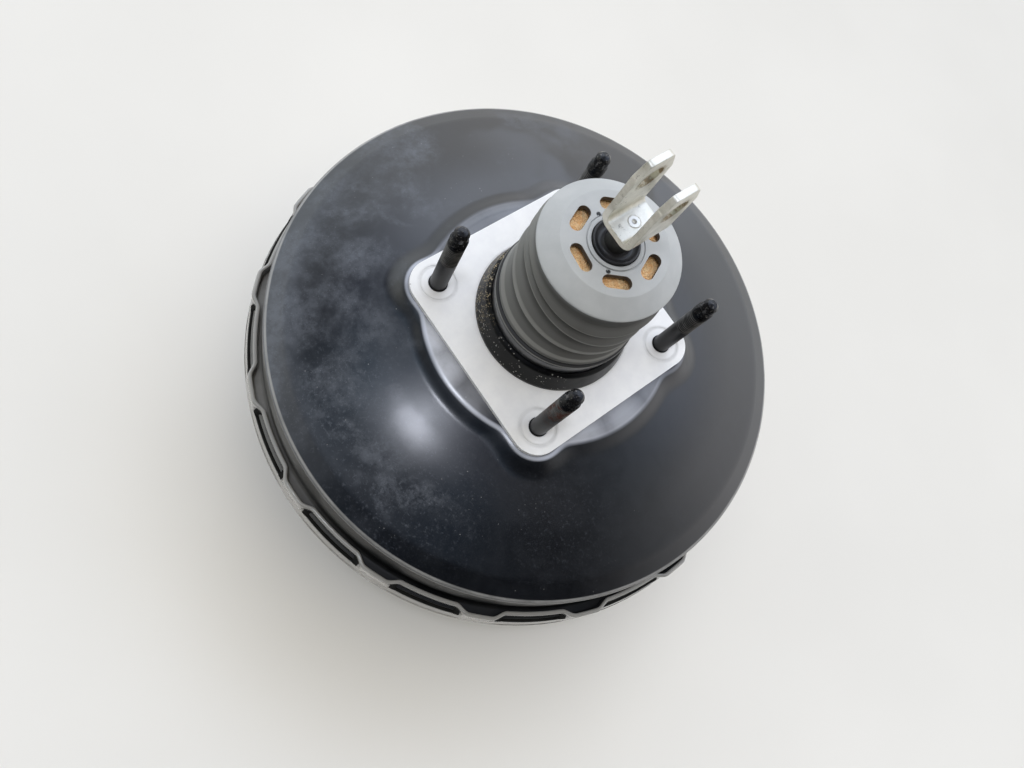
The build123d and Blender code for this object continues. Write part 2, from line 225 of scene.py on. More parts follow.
def streak(g, cx, cy, deg, length, width, seed):
    """Soft wiped streak of dust lying on the shell."""
    p = turned_frame(g, cx, cy, deg)
    x, y, _ = g.sep(p)
    wob = g.math("MULTIPLY", g.math("SUBTRACT", g.noise(45, 3, 0.6, g.vmath("ADD", g.obj, (seed, 0, 0))), 0.5), 0.02)
    y = g.math("ADD", y, wob)
    u = g.math("DIVIDE", x, length / 2)
    v = g.math("DIVIDE", y, width / 2)
    d = g.math("ADD", g.math("MULTIPLY", u, u), g.math("MULTIPLY", v, v))
    return g.span(d, 0.1, 1.0, 1.0, 0.0)


def black_paint():
    g = Graph("black_paint")
    x, y, z = g.sep()
    r = g.radius()
    n_fine = g.noise(1400, 3, 0.6)
    n_mid = g.noise(75, 7, 0.68, distort=0.5)
    n_big = g.noise(17, 3, 0.5, distort=0.3)
    n_soft = g.noise(26, 6, 0.62, g.vmath("ADD", g.obj, (0.3, 0.1, 0)), distort=0.15)
    # settled dust, thick toward -X: soft clouds broken up by finer noise
    side = g.span(g.math("ADD", g.math("MULTIPLY", x, -0.85), g.math("MULTIPLY", y, -0.42)), -0.005, 0.085)
    cloud = g.span(n_soft, 0.47, 0.66)
    broken = g.span(g.noise(190, 6, 0.7), 0.34, 0.62, 0.35, 1.0)
    dust = g.math("MULTIPLY", g.math("MULTIPLY", side, cloud), broken)
    # cloudy patches toward +Y -X
    up = g.math("MULTIPLY", g.span(y, 0.015, 0.055), g.span(x, 0.02, -0.03))
    haze = g.math("MULTIPLY", g.math("MULTIPLY", up, g.span(n_big, 0.46, 0.56)), 0.40)
    # wiped smears
    marks = None
    for cx, cy, deg, ln, w, k, seed in ((-0.098, -0.030, 52, 0.046, 0.014, 0.8, 0.3), (-0.086, -0.044, 47, 0.052, 0.009, 0.7, 1.1),
                                        (-0.106, -0.004, 62, 0.036, 0.020, 0.6, 2.2), (-0.074, -0.060, 80, 0.020, 0.010, 0.6, 3.1),
                                        (-0.058, -0.092, 35, 0.044, 0.014, 0.5, 4.4), (-0.030, -0.104, 12, 0.030, 0.012, 0.4, 5.2),
                                        (-0.040, -0.080, 65, 0.022, 0.008, 0.5, 6.0), (0.004, -0.101, 20, 0.050, 0.018, 0.7, 7.1),
                                        (0.030, -0.097, 32, 0.046, 0.016, 0.8, 8.3), (0.050, -0.088, 12, 0.034, 0.014, 0.6, 9.2),
                                        (-0.022, -0.109, 10, 0.040, 0.014, 0.6, 10.4), (0.012, -0.114, 62, 0.022, 0.012, 0.6, 11.5),
                                        (0.028, -0.110, -20, 0.026, 0.012, 0.6, 12.6)):
        m = g.math("MULTIPLY", streak(g, cx, cy, deg, ln, w, seed), k)
        marks = m if marks is None else g.math("MAXIMUM", marks, m)
    marks = g.math("MULTIPLY", marks, g.math("MULTIPLY", g.span(g.noise(150, 8, 0.78), 0.38, 0.64), g.span(g.noise(55, 3, 0.5, g.vmath("ADD", g.obj, (9, 0, 0))), 0.42, 0.60, 0.15, 1.0)))
    # loose specks
    keep = g.span(g.noise(34, 3, 0.6), 0.50, 0.58)
    dots = g.math("MULTIPLY", g.span(g.voronoi(420), 0.05, 0.12, 1.0, 0.0), g.math("MULTIPLY", keep, g.span(g.noise(300, 2, 0.5), 0.50, 0.62)))
    dots = g.math("MULTIPLY", dots, g.span(g.math("ADD", g.math("MULTIPLY", x, 0.4), y), 0.05, -0.02))
    small = g.math("MULTIPLY", g.span(g.voronoi(800, g.vmath("ADD", g.obj, (2, 0, 0))), 0.16, 0.26, 1.0, 0.0), g.math("MULTIPLY", side, cloud))
    total = g.math("ADD", g.math("MULTIPLY", dust, 0.55), g.math("MULTIPLY", marks, 0.80), clamp=True)
    total = g.math("ADD", total, haze, clamp=True)
    total = g.math("ADD", total, g.math("MULTIPLY", small, 0.30), clamp=True)
    # painted reflection: a lighter bluish band on the steep annulus inside the rim, toward -X -Y
    annulus_reflection = g.math("MULTIPLY", g.math("MULTIPLY", g.span(r, 0.108, 0.120), g.span(y, -0.020, -0.090)), g.span(x, 0.030, -0.040))
    total = g.math("ADD", total, g.math("MULTIPLY", annulus_reflection, 0.36), clamp=True)
    total = g.math("ADD", total, 0.015, clamp=True)
    base = g.mix(g.span(n_mid, 0.35, 0.7), (0.0035, 0.0040, 0.0055), (0.0070, 0.0078, 0.0100))
    # fine spatter toward -Y
    spat = g.math("MAXIMUM", g.near((0.030, -0.102, -0.014), 0.058, 0.9), g.near((-0.020, -0.104, -0.014), 0.050, 0.9))
    spat = g.math("MAXIMUM", spat, g.math("MULTIPLY", g.near((0.080, -0.050, -0.014), 0.045, 0.9), 0.5))
    spat = g.math("MULTIPLY", spat, g.span(g.noise(620, 6, 0.82, g.vmath("ADD", g.obj, (6, 1, 0))), 0.53, 0.66))
    total = g.math("ADD", total, g.math("MULTIPLY", spat, 0.50), clamp=True)
    base = g.mix(g.math("MULTIPLY", total, 0.34), base, (0.24, 0.27, 0.33))
    base = g.mix(g.math("MULTIPLY", dots, 0.55), base, (0.38, 0.38, 0.38))
    # water spot left on the shell
    spot = g.near((-0.0090, -0.0800, -0.0093), 0.0048, 0.35)
    spot = g.math("MULTIPLY", spot, g.span(g.noise(700, 4, 0.7), 0.44, 0.56))
    base = g.mix(g.math("MULTIPLY", spot, 0.8), base, (0.02, 0.02, 0.025))
    # painted reflection: pale bluish patches on the platform beside the plate
    d1 = g.math("SUBTRACT", r, 0.0610)
    ax = g.math("SUBTRACT", g.math("ABSOLUTE", x), 0.039)
    ay = g.math("SUBTRACT", g.math("ABSOLUTE", y), 0.038)
    d2 = g.math("SUBTRACT", g.math("SQRT", g.math("ADD", g.math("MULTIPLY", ax, ax), g.math("MULTIPLY", ay, ay))), 0.0145)
    out = g.math("SMOOTH_MIN", d1, d2, 0.006)
    ring = g.math("MULTIPLY", g.span(out, -0.0004, -0.0018), g.span(r, 0.048, 0.051))
    platform_reflection = None
    for px, py, rad, k in ((-0.0200, -0.0565, 0.020, 0.85), (-0.0060, -0.0575, 0.018, 0.75), (0.0100, -0.0560, 0.020, 0.30),
                           (0.0545, -0.0230, 0.026, 0.62), (0.0590, 0.0010, 0.024, 0.52), (0.0545, 0.0200, 0.016, 0.28),
                           (-0.0560, -0.0120, 0.030, 0.14), (-0.0550, 0.0140, 0.030, 0.14)):
        m = g.math("MULTIPLY", g.near((px, py, -0.003), rad, 0.9), k)
        platform_reflection = m if platform_reflection is None else g.math("MAXIMUM", platform_reflection, m)
    platform_reflection = g.math("MULTIPLY", platform_reflection, ring)
    platform_reflection = g.math("MULTIPLY", platform_reflection, g.span(g.noise(90, 5, 0.6), 0.25, 0.6, 0.75, 1.0))
    base = g.mix(g.math("MULTIPLY", platform_reflection, 0.85), base, (0.72, 0.75, 0.84))
    # painted highlight along the crest of the platform's shoulder, strongest toward -Y
    crest_highlight = g.math("MULTIPLY", g.span(out, -0.0026, -0.0013), g.span(out, 0.0004, -0.0008))
    where = g.math("ADD", g.math("MULTIPLY", g.span(y, -0.020, -0.045), 0.55), g.math("MULTIPLY", g.span(x, 0.035, 0.055), 0.16))
    crest_highlight = g.math("MULTIPLY", crest_highlight, g.math("ADD", where, 0.05))
    crest_highlight = g.math("MULTIPLY", crest_highlight, g.span(g.noise(40, 3, 0.5), 0.25, 0.6, 0.6, 1.0))
    base = g.mix(crest_highlight, base, (0.66, 0.70, 0.82))
    # paint rubbed thin along the rolled rim, with a painted highlight along it
    rim = g.math("MULTIPLY", g.span(r, 0.1257, 0.1263), g.span(r, 0.1267, 0.1273, 1.0, 0.0))
    rim = g.math("MULTIPLY", rim, g.span(g.noise(60, 4, 0.6), 0.30, 0.60, 0.60, 1.0))
    base = g.mix(g.math("MULTIPLY", rim, 0.75), base, (0.36, 0.36, 0.355))
    rough = g.math("ADD", g.span(n_mid, 0.3, 0.7, 0.27, 0.34), g.math("MULTIPLY", total, 0.28))
    bump = g.bump(g.math("ADD", g.math("MULTIPLY", n_fine, 0.25), g.math("ADD", n_mid, g.math("MULTIPLY", spot, 1.2))), 0.035, 0.0003)
    return g.done(base, rough, 0.0, bump, Specular_IOR_Level=0.58, Coat_Weight=0.55, Coat_Roughness=0.19, Coat_IOR=1.5)


def front_paint():
    g = Graph("front_paint")
    n_fine = g.noise(900, 3, 0.6)
    n_mid = g.noise(55, 6, 0.65)
    x, y, z = g.sep()
    base = g.mix(g.span(n_mid, 0.3, 0.7), (0.012, 0.0125, 0.013), (0.026, 0.026, 0.027))
    # painted reflection: the outside of the skirt pale, for the pale floor it mirrors
    r = g.radius()
    out = g.math("MULTIPLY", g.span(r, 0.1342, 0.1348), g.span(n_mid, 0.2, 0.6, 0.6, 1.0))
    base = g.mix(g.math("MULTIPLY", out, 0.75), base, (0.42, 0.41, 0.39))
    # painted highlight along the skirt's top edge
    rim = g.math("MULTIPLY", g.span(z, -0.0494, -0.0487), 0.80)
    base = g.mix(rim, base, (0.40, 0.395, 0.38))
    rough = g.span(n_mid, 0.3, 0.7, 0.18, 0.26)
    return g.done(base, rough, 0.0, g.bump(g.math("ADD", g.math("MULTIPLY", n_fine, 0.4), n_mid), 0.03, 0.0003),
                  Specular_IOR_Level=0.6, Coat_Weight=0.7, Coat_Roughness=0.12, Coat_IOR=1.5)


STUDS = [(sx * 0.039, sy * 0.038) for sx in (-1, 1) for sy in (-1, 1)]


def plate_steel():
    g = Graph("plate_steel")
    n_fine = g.noise(1600, 3, 0.7)
    n_mid = g.noise(110, 5, 0.62)
    n_big = g.noise(28, 3, 0.5)
    base = g.mix(g.span(n_mid, 0.3, 0.7), (0.82, 0.825, 0.84), (0.88, 0.885, 0.89))
    specks = g.span(g.voronoi(160), 0.05, 0.085, 1.0, 0.0)
    specks = g.math("MULTIPLY", specks, g.span(g.noise(70, 2, 0.5, g.vmath("ADD", g.obj, (3, 1, 0))), 0.60, 0.66))
    base = g.mix(g.math("MULTIPLY", specks, 0.85), base, (0.10, 0.085, 0.07))
    # rubbed ring where each nut has been, and a grey smudge
    ring = None
    for x, y in STUDS:
        d = g.radius(x, y)
        m = g.math("MULTIPLY", g.span(d, 0.0070, 0.0080), g.span(d, 0.0086, 0.0100, 1.0, 0.0))
        inner = g.math("MULTIPLY", g.span(d, 0.0045, 0.0052, 1.0, 0.0), 1.0)
        m = g.math("MAXIMUM", m, inner)
        ring = m if ring is None else g.math("MAXIMUM", ring, m)
    ring = g.math("MULTIPLY", ring, g.span(g.noise(120, 4, 0.6), 0.38, 0.62, 0.45, 1.0))
    base = g.mix(g.math("MULTIPLY", ring, 0.32), base, (0.34, 0.34, 0.34))
    rough = g.span(n_big, 0.3, 0.7, 0.46, 0.54)
    bump = g.bump(g.math("ADD", n_fine, g.math("MULTIPLY", ring, 1.5)), 0.08, 0.0002)
    return g.done(base, rough, 0.08, bump)


def stud_steel():
    g = Graph("stud_steel")
    x, y, z = g.sep()
    n_mid = g.noise(170, 5, 0.65)
    n_fine = g.noise(1500, 3, 0.6)
    base = g.mix(g.span(n_mid, 0.35, 0.68), (0.004, 0.004, 0.005), (0.010, 0.010, 0.011))
    # painted highlight: thin bright lines on the thread crests, one per turn of the thread
    ax = g.math("SUBTRACT", g.math("ABSOLUTE", x), 0.039)
    ay = g.math("SUBTRACT", g.math("ABSOLUTE", y), 0.038)
    rad = g.math("SQRT", g.math("ADD", g.math("MULTIPLY", ax, ax), g.math("MULTIPLY", ay, ay)))
    turn = g.math("SINE", g.math("MULTIPLY", z, 2 * math.pi / 0.00125))
    crest_highlight = g.math("MULTIPLY", g.span(turn, 0.25, 0.85), g.math("MULTIPLY", g.span(z, 0.0235, 0.0245), g.span(rad, 0.0030, 0.0033)))
    crest_highlight = g.math("MULTIPLY", crest_highlight, g.span(g.noise(230, 4, 0.6), 0.34, 0.60, 0.45, 1.0))
    crest_highlight = g.math("MULTIPLY", crest_highlight, g.span(z, 0.0385, 0.0375))
    base = g.mix(crest_highlight, base, (0.13, 0.128, 0.125))
    # scuffed end
    scuff = g.math("MULTIPLY", g.span(z, 0.0385, 0.0400), g.span(g.noise(900, 4, 0.7, g.vmath("ADD", g.obj, (8, 0, 0))), 0.55, 0.66))
    base = g.mix(g.math("MULTIPLY", scuff, 0.35), base, (0.30, 0.29, 0.28))
    # rust on the stud at +X, -Y
    d = g.radius(0.039, -0.038)
    rust = g.math("MULTIPLY", g.span(d, 0.006, 0.008, 1.0, 0.0), g.span(z, 0.014, 0.030))
    rust = g.math("MULTIPLY", rust, g.span(g.noise(210, 5, 0.7, g.vmath("ADD", g.obj, (5, 0, 0))), 0.44, 0.60))
    rust = g.math("MULTIPLY", rust, g.span(z, 0.0405, 0.037))
    base = g.mix(g.math("MULTIPLY", rust, 0.85), base, (0.080, 0.022, 0.012))
    rough = g.math("ADD", g.span(z, 0.036, 0.041, 0.42, 0.24), g.math("MULTIPLY", rust, 0.3))
    return g.done(base, rough, 0.0, g.bump(g.math("ADD", n_mid, n_fine), 0.10, 0.0002), Specular_IOR_Level=0.38)


def collar_rubber():
    g = Graph("collar_rubber")
    x, y, z = g.sep()
    n_mid = g.noise(140, 5, 0.6)
    base = g.mix(g.span(n_mid, 0.3, 0.7), (0.0025, 0.0025, 0.003), (0.006, 0.006, 0.006))
    # sand grains caught on the slope: thick on the -X side, a few white ones toward -Y
    grain = g.span(g.voronoi(900), 0.22, 0.33, 1.0, 0.0)
    fine = g.span(g.voronoi(1700, g.vmath("ADD", g.obj, (1, 2, 3))), 0.24, 0.35, 1.0, 0.0)
    left = g.math("MULTIPLY", g.span(x, -0.004, -0.024), g.span(y, 0.012, 0.000))
    patch = g.span(g.noise(420, 3, 0.6), 0.44, 0.55)
    sand = g.math("MULTIPLY", g.math("MAXIMUM", grain, fine), g.math("MULTIPLY", left, patch))
    base = g.mix(g.math("MULTIPLY", sand, 0.85), base, (0.56, 0.46, 0.30))
    right = g.math("MULTIPLY", g.span(y, -0.014, -0.026), g.span(g.noise(190, 3, 0.6, g.vmath("ADD", g.obj, (4, 0, 0))), 0.46, 0.56))
    white = g.math("MULTIPLY", g.span(g.voronoi(700, g.vmath("ADD", g.obj, (7, 0, 0))), 0.17, 0.25, 1.0, 0.0), right)
    base = g.mix(g.math("MULTIPLY", white, 0.8), base, (0.50, 0.49, 0.46))
    grit = g.math("MAXIMUM", sand, white)
    rough = g.math("ADD", g.span(n_mid, 0.3, 0.7, 0.30, 0.42), g.math("MULTIPLY", grit, 0.4))
    return g.done(base, rough, 0.0, g.bump(g.math("ADD", g.math("MULTIPLY", n_mid, 0.5), g.math("MULTIPLY", grit, 1.2)), 0.30, 0.0003), Specular_IOR_Level=0.2)


def boot_rubber():
    g = Graph("boot_rubber")
    x, y, z = g.sep()
    r = g.radius()
    n_mid = g.noise(70, 6, 0.6)
    n_fine = g.noise(1300, 3, 0.6)
    base = g.mix(g.span(n_mid, 0.3, 0.7), (0.410, 0.428, 0.440), (0.465, 0.482, 0.492))
    # painted shade: the slightly brown sides below the drum darker than the top, darker still toward +X -Y and in the
    # undercuts under the folds and the drum
    low = g.span(z, 0.069, 0.0635)
    shaded_side = g.span(g.math("SUBTRACT", g.math("MULTIPLY", x, 0.9), g.math("MULTIPLY", y, 0.5)), -0.022, 0.024)
    side_shade_tone = g.mix(shaded_side, (0.182, 0.184, 0.172), (0.082, 0.080, 0.072))
    base = g.mix(g.math("MULTIPLY", low, 0.90), base, side_shade_tone)
    # painted shade in the undercuts under each fold and under the drum
    under = g.math("MULTIPLY", low, g.span(r, 0.0302, 0.0288))
    base = g.mix(g.math("MULTIPLY", under, 0.60), base, (0.020, 0.019, 0.017))
    # painted highlight along the lip of each fold
    fold_highlight = g.math("MULTIPLY", low, g.span(r, 0.03095, 0.0312))
    fold_highlight = g.math("MULTIPLY", fold_highlight, g.span(z, 0.0245, 0.0255))
    base = g.mix(g.math("MULTIPLY", fold_highlight, 0.60), base, (0.34, 0.34, 0.32))
    # bead ring at the foot, dark, with a painted highlight along its outer edge
    foot = g.span(z, 0.0226, 0.0222)
    base = g.mix(foot, base, (0.028, 0.028, 0.029))
    bead_highlight = g.math("MULTIPLY", g.span(r, 0.0326, 0.0329), foot)
    base = g.mix(g.math("MULTIPLY", bead_highlight, 0.6), base, (0.34, 0.34, 0.33))
    # painted shade: the walls of the vents dark brown, as is the underside of the face
    vent_shade = g.math("MULTIPLY", g.span(z, 0.07345, 0.0732), g.math("MULTIPLY", g.span(r, 0.0122, 0.0126), g.span(r, 0.0206, 0.0202)))
    base = g.mix(g.math("MULTIPLY", vent_shade, 0.88), base, (0.022, 0.014, 0.010))
    # black moulding marks beside the hole
    for px, py in ((-0.0128, 0.0012), (0.0079, -0.0103)):
        m = g.near((px, py, 0.0736), 0.0012, 0.4)
        m = g.math("MULTIPLY", m, g.span(g.noise(900, 2), 0.35, 0.5))
        base = g.mix(m, base, (0.01, 0.01, 0.01))
    rough = g.span(n_mid, 0.3, 0.7, 0.46, 0.56)
    return g.done(base, rough, 0.0, g.bump(g.math("ADD", g.math("MULTIPLY", n_mid, 0.6), g.math("MULTIPLY", n_fine, 0.5)), 0.06, 0.0003), Specular_IOR_Level=0.4)


def filter_foam():
    g = Graph("filter_foam")
    cells = g.voronoi(1500)
    n = g.noise(500, 4, 0.7)
    base = g.mix(g.span(n, 0.3, 0.7), (0.90, 0.50, 0.22), (1.0, 0.74, 0.44))
    base = g.mix(g.span(cells, 0.10, 0.40, 0.30, 0.0), base, (0.45, 0.20, 0.08))
    return g.done(base, 0.95, 0.0, g.bump(g.math("ADD", cells, n), 0.9, 0.0006))


def zinc_clevis():
    g = Graph("zinc_clevis")
    x, y, z = g.sep()
    n_mid = g.noise(150, 6, 0.65)
    n_fine = g.noise(1500, 3, 0.65)
    base = g.mix(g.span(n_mid, 0.3, 0.7), (0.62, 0.60, 0.52), (0.86, 0.84, 0.77))
    # yellow and rust round the pin hole
    d = g.math("SQRT", g.math("ADD", g.math("MULTIPLY", y, y), g.math("POWER", g.math("SUBTRACT", z, 0.112), 2.0)))
    near = g.span(d, 0.0050, 0.0072, 1.0, 0.0)
    rust = g.math("MULTIPLY", near, g.span(g.noise(330, 4, 0.7), 0.40, 0.60))
    base = g.mix(g.math("MULTIPLY", near, 0.5), base, (0.52, 0.50, 0.33))
    base = g.mix(g.math("MULTIPLY", rust, 0.75), base, (0.20, 0.12, 0.05))
    dirt = g.math("MULTIPLY", g.span(g.noise(420, 4, 0.7, g.vmath("ADD", g.obj, (2, 2, 0))), 0.60, 0.70), 0.6)
    base = g.mix(dirt, base, (0.16, 0.15, 0.12))
    rough = g.span(n_mid, 0.3, 0.7, 0.30, 0.46)
    return g.done(base, rough, 0.70, g.bump(g.math("ADD", n_mid, g.math("MULTIPLY", n_fine, 0.4)), 0.14, 0.0003, rounded(g, 0.0005)))


def rod_steel():
    g = Graph("rod_steel")
    x, y, z = g.sep()
    n_mid = g.noise(180, 5, 0.6)
    base = g.mix(g.span(n_mid, 0.3, 0.7), (0.085, 0.083, 0.080), (0.15, 0.148, 0.14))
    tip = g.span(z, 0.0885, 0.0892)
    base = g.mix(tip, base, (0.74, 0.73, 0.69))
    # dimple left by the riveting punch
    d = g.radius()
    ring = g.math("MULTIPLY", tip, g.math("MULTIPLY", g.span(d, 0.0004, 0.0007), g.span(d, 0.0010, 0.0013, 1.0, 0.0)))
    base = g.mix(g.math("MULTIPLY", ring, 0.5), base, (0.2, 0.19, 0.17))
    return g.done(base, g.span(n_mid, 0.3, 0.7, 0.28, 0.38), 0.6, g.bump(g.noise(1400, 3), 0.1, 0.0002))


def simple(name, a, b, rough, metal=0.0, scale=80, fine=1200, bump=0.08, dist=0.0003, **kw):
    g = Graph(name)
    n_mid = g.noise(scale, 5, 0.6)
    n_fine = g.noise(fine, 3, 0.6)
    base = g.mix(g.span(n_mid, 0.32, 0.68), a, b)
    r = g.span(n_mid, 0.3, 0.7, rough - 0.06, rough + 0.06)
    return g.done(base, r, metal, g.bump(g.math("ADD", g.math("MULTIPLY", n_mid, 0.6), n_fine), bump, dist), **kw)


M = {}
M["rear_shell"] = black_paint()
M["front_shell"] = front_paint()
M["mounting_plate"] = plate_steel()
M["firewall_studs"] = stud_steel()
M["firewall_collar"] = collar_rubber()
M["dust_boot"] = boot_rubber()
M["rod_bush"] = simple("bush_rubber", (0.012, 0.012, 0.014), (0.026, 0.026, 0.029), 0.42, 0.0, 160)
M["air_filter"] = filter_foam()
M["clevis"] = zinc_clevis()
M["input_rod"] = rod_steel()
grey = simple("plain_steel", (0.40, 0.40, 0.40), (0.52, 0.52, 0.51), 0.4, 0.85, 120)
spring = simple("spring_steel", (0.22, 0.22, 0.23), (0.34, 0.34, 0.35), 0.35, 0.85, 160)
zinc = simple("zinc_stud", (0.50, 0.50, 0.48), (0.64, 0.64, 0.62), 0.36, 0.8, 160)
rubber = simple("black_rubber", (0.018, 0.018, 0.019), (0.032, 0.032, 0.033), 0.55, 0.0, 120)
hub = simple("hub_plastic", (0.028, 0.028, 0.03), (0.042, 0.042, 0.044), 0.5, 0.0, 90)
gloss = simple("valve_plastic", (0.02, 0.02, 0.022), (0.03, 0.03, 0.033), 0.28, 0.0, 90)
nylon = simple("nylon", (0.68, 0.66, 0.60), (0.76, 0.75, 0.70), 0.45, 0.0, 90)
felt = simple("felt", (0.22, 0.21, 0.20), (0.34, 0.33, 0.31), 0.95, 0.0, 700, 2500, 0.8, 0.0006)
for n in ("stop_key", "diaphragm_plate", "output_rod", "output_retainer", "air_valve_plunger", "poppet_retainer",
          "rod_spring_seat", "front_reinforcement"):
    M[n] = grey
for n in ("return_spring", "poppet_spring", "rod_return_spring", "check_valve_spring"):
    M[n] = spring
for n in ("cylinder_studs", "output_screw"):
    M[n] = zinc
for n in ("neck_seal", "cylinder_seal", "diaphragm", "reaction_disc", "poppet", "valve_grommet", "check_valve_poppet"):
    M[n] = rubber
M["valve_body"] = hub
for n in ("check_valve_body", "check_valve_elbow"):
    M[n] = gloss
M["neck_bearing"] = nylon
M["silencer_felt"] = felt
for name, obj in nodes.items():
    dress(obj, M[name])
# painted shade: a matte near-black material for the window recesses of the skirt
M["window_painted_shade"] = simple("window_painted_shade", (0.006, 0.006, 0.006), (0.014, 0.014, 0.013), 0.85, 0.0, 160, Specular_IOR_Level=0.12)


def wall_paint_and_light():
    """Side wall of the rear shell: painted light, pale toward -X and almost black toward +X, and paler further down
    where the skirt shades it.
    """
    g = Graph("wall_paint_and_light")
    x, y, z = g.sep()
    n_mid = g.noise(90, 5, 0.6)
    n_fine = g.noise(1200, 3, 0.6)
    base = g.mix(g.span(n_mid, 0.32, 0.68), (0.006, 0.0065, 0.007), (0.012, 0.0125, 0.013))
    # painted light: the wall paler further down and toward -X
    wall_light_tone = g.mix(g.span(z, -0.030, -0.050), (0.075, 0.075, 0.072), (0.21, 0.208, 0.20))
    painted_light_side = g.math("MULTIPLY", g.span(x, 0.052, -0.050, 0.0, 1.0), g.span(n_mid, 0.2, 0.6, 0.75, 1.0))
    base = g.mix(painted_light_side, base, wall_light_tone)
    rough = g.span(n_mid, 0.3, 0.7, 0.42, 0.52)
    return g.done(base, rough, 0.0, g.bump(g.math("ADD", g.math("MULTIPLY", n_mid, 0.6), n_fine), 0.08, 0.0003), Specular_IOR_Level=0.30)


M["wall_paint_and_light"] = wall_paint_and_light()


# ============================================================ meshes
def link(name, verts, faces, mat, sharp=None):
    me = bpy.data.meshes.new(name)
    me.from_pydata([tuple(v) for v in verts], [], [tuple(f) for f in faces])
    me.validate()
    bm = bmesh.new()
    bm.from_mesh(me)
    bmesh.ops.recalc_face_normals(bm, faces=bm.faces)
    for f in bm.faces:
        f.smooth = True
    if sharp is not None:
        for e in bm.edges:
            if len(e.link_faces) == 2 and e.calc_face_angle(0.0) > math.radians(sharp):
                e.smooth = False
    bm.to_mesh(me)
    bm.free()
    o = bpy.data.objects.new(name, me)
    scene.collection.objects.link(o)
    dress(o, mat)
    return o


def lathe(profile, count):
    """Closed ring of profiles: profile(angle) gives an (n, 2) array of r and z, with n the same all round."""
    rings = []
    for i in range(count):
        t = 2 * math.pi * i / count
        p = profile(t)
        rings.append(np.c_[p[:, 0] * math.cos(t), p[:, 0] * math.sin(t), p[:, 1]])
    n = len(rings[0])
    verts = np.concatenate(rings)
    faces = []
    for i in range(count):
        j = (i + 1) % count
        for k in range(n):
            m = (k + 1) % n
            faces.append((i * n + k, j * n + k, j * n + m, i * n + m))
    return verts, faces


def rounded_path(points, step):
    """Polyline through (r, z, fillet) corners with arcs, in mm, sampled about every step."""
    out = []
    n = len(points)
    for i, p in enumerate(points):
        f = p[2] if len(p) > 2 else 0.0
        b = np.array(p[:2], float)
        if i in (0, n - 1) or f <= 0:
            out.append(b)
            continue
        a = np.array(points[i - 1][:2], float)
        c = np.array(points[i + 1][:2], float)
        u = (b - a) / np.linalg.norm(b - a)
        v = (c - b) / np.linalg.norm(c - b)
        turn = math.atan2(u[0] * v[1] - u[1] * v[0], float(u @ v))
        t = f * math.tan(abs(turn) / 2)
        s = 1.0 if turn > 0 else -1.0
        p0 = b - u * t
        centre = p0 + np.array([-u[1], u[0]]) * f * s
        k = max(3, int(abs(turn) * f / step) + 2)
        for q in range(k + 1):
            w = turn * q / k
            d = p0 - centre
            out.append(centre + np.array([d[0] * math.cos(w) - d[1] * math.sin(w), d[0] * math.sin(w) + d[1] * math.cos(w)]))
    full = [out[0]]
    for q in out[1:]:
        d = np.linalg.norm(q - full[-1])
        if d < 1e-6:
            continue
        m = max(1, int(d / step))
        last = full[-1]
        for e in range(1, m + 1):
            full.append(last + (q - last) * e / m)
    return np.array(full)


# rear shell: crown, raised square platform blended into the dome, rim, wall and flange
DOME = rounded_path([(34.0, -3.0), (50.0, -3.0, 60.0), (88.0, -11.2, 200.0), (118.5, -22.0, 22.0), (124.0, -25.01)], 0.6)


def platform_edge(x, y):
    """Signed distance outside the platform outline, in mm: a circle run smoothly into four round bosses."""
    d1 = np.hypot(x, y) - 61.0
    d2 = np.hypot(np.abs(x) - 39.0, np.abs(y) - 38.0) - 14.5
    k = 6.0
    h = np.maximum(k - np.abs(d1 - d2), 0.0) / k
    return np.minimum(d1, d2) - h * h * k / 4


def shell_top(r, x, y):
    """Height of the outer face, in mm."""
    dome = np.interp(r, DOME[:, 0], DOME[:, 1])
    s = platform_edge(x, y)
    k = 2.6
    fall = 0.92 * 0.5 * (s + np.sqrt(s * s + k * k))
    # the pressing sags a little between the plate and the shoulder
    sag = 0.035 * np.maximum(s + 9.0, 0.0) * (s < 0) + 0.035 * 9.0 * (s >= 0)
    plat = -2.5 - np.maximum(fall + sag - 0.03, 0.0)
    d = np.abs(dome - plat)
    w = 2.2
    return np.maximum(dome, plat) + np.maximum(w - d, 0.0) ** 2 / (4 * w) * (plat < -2.9)


def rear_shell():
    lip = rounded_path([(30.5, -4.4), (30.5, 19.2, 0.8), (32.3, 19.2, 0.8), (32.3, -2.4)], 1.2)
    top_r = np.r_[np.linspace(33.0, 46.0, 9), np.arange(46.6, 84.0, 0.6), np.arange(84.0, 118.1, 1.2)]
    rim = rounded_path([(118.5, -22.0), (127.5, -27.0, 2.3), (127.7, -55.2, 2.0), (132.9, -55.2, 0.35), (132.9, -57.0, 0.35),
                        (126.3, -57.0), (126.0, -28.4, 1.8), (117.8, -23.9)], 0.5)
    rim = rim[(rim[:, 0] > 118.9) | (rim[:, 1] < -23)]

    def profile(t):
        c, s = math.cos(t), math.sin(t)
        z = shell_top(top_r, top_r * c, top_r * s)
        z[0] = min(z[0], -2.5)
        upper = np.c_[top_r, z]
        lower = np.c_[top_r[::-3], z[::-3] - 1.9]
        return np.concatenate([lip, upper, rim, lower]) * MM

    v, f = lathe(profile, 900)
    o = link("shell_rear", v, f, M["rear_shell"], 50)
    # the side wall below the rim gets the material with painted light
    o.data.materials.append(M["wall_paint_and_light"])
    for poly in o.data.polygons:
        c = poly.center
        if math.hypot(c.x, c.y) / MM > 126.9 and c.z / MM < -28.4:
            poly.material_index = 1
    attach(o, "housing")
    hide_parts("rear_shell")
    return o


rear_shell()


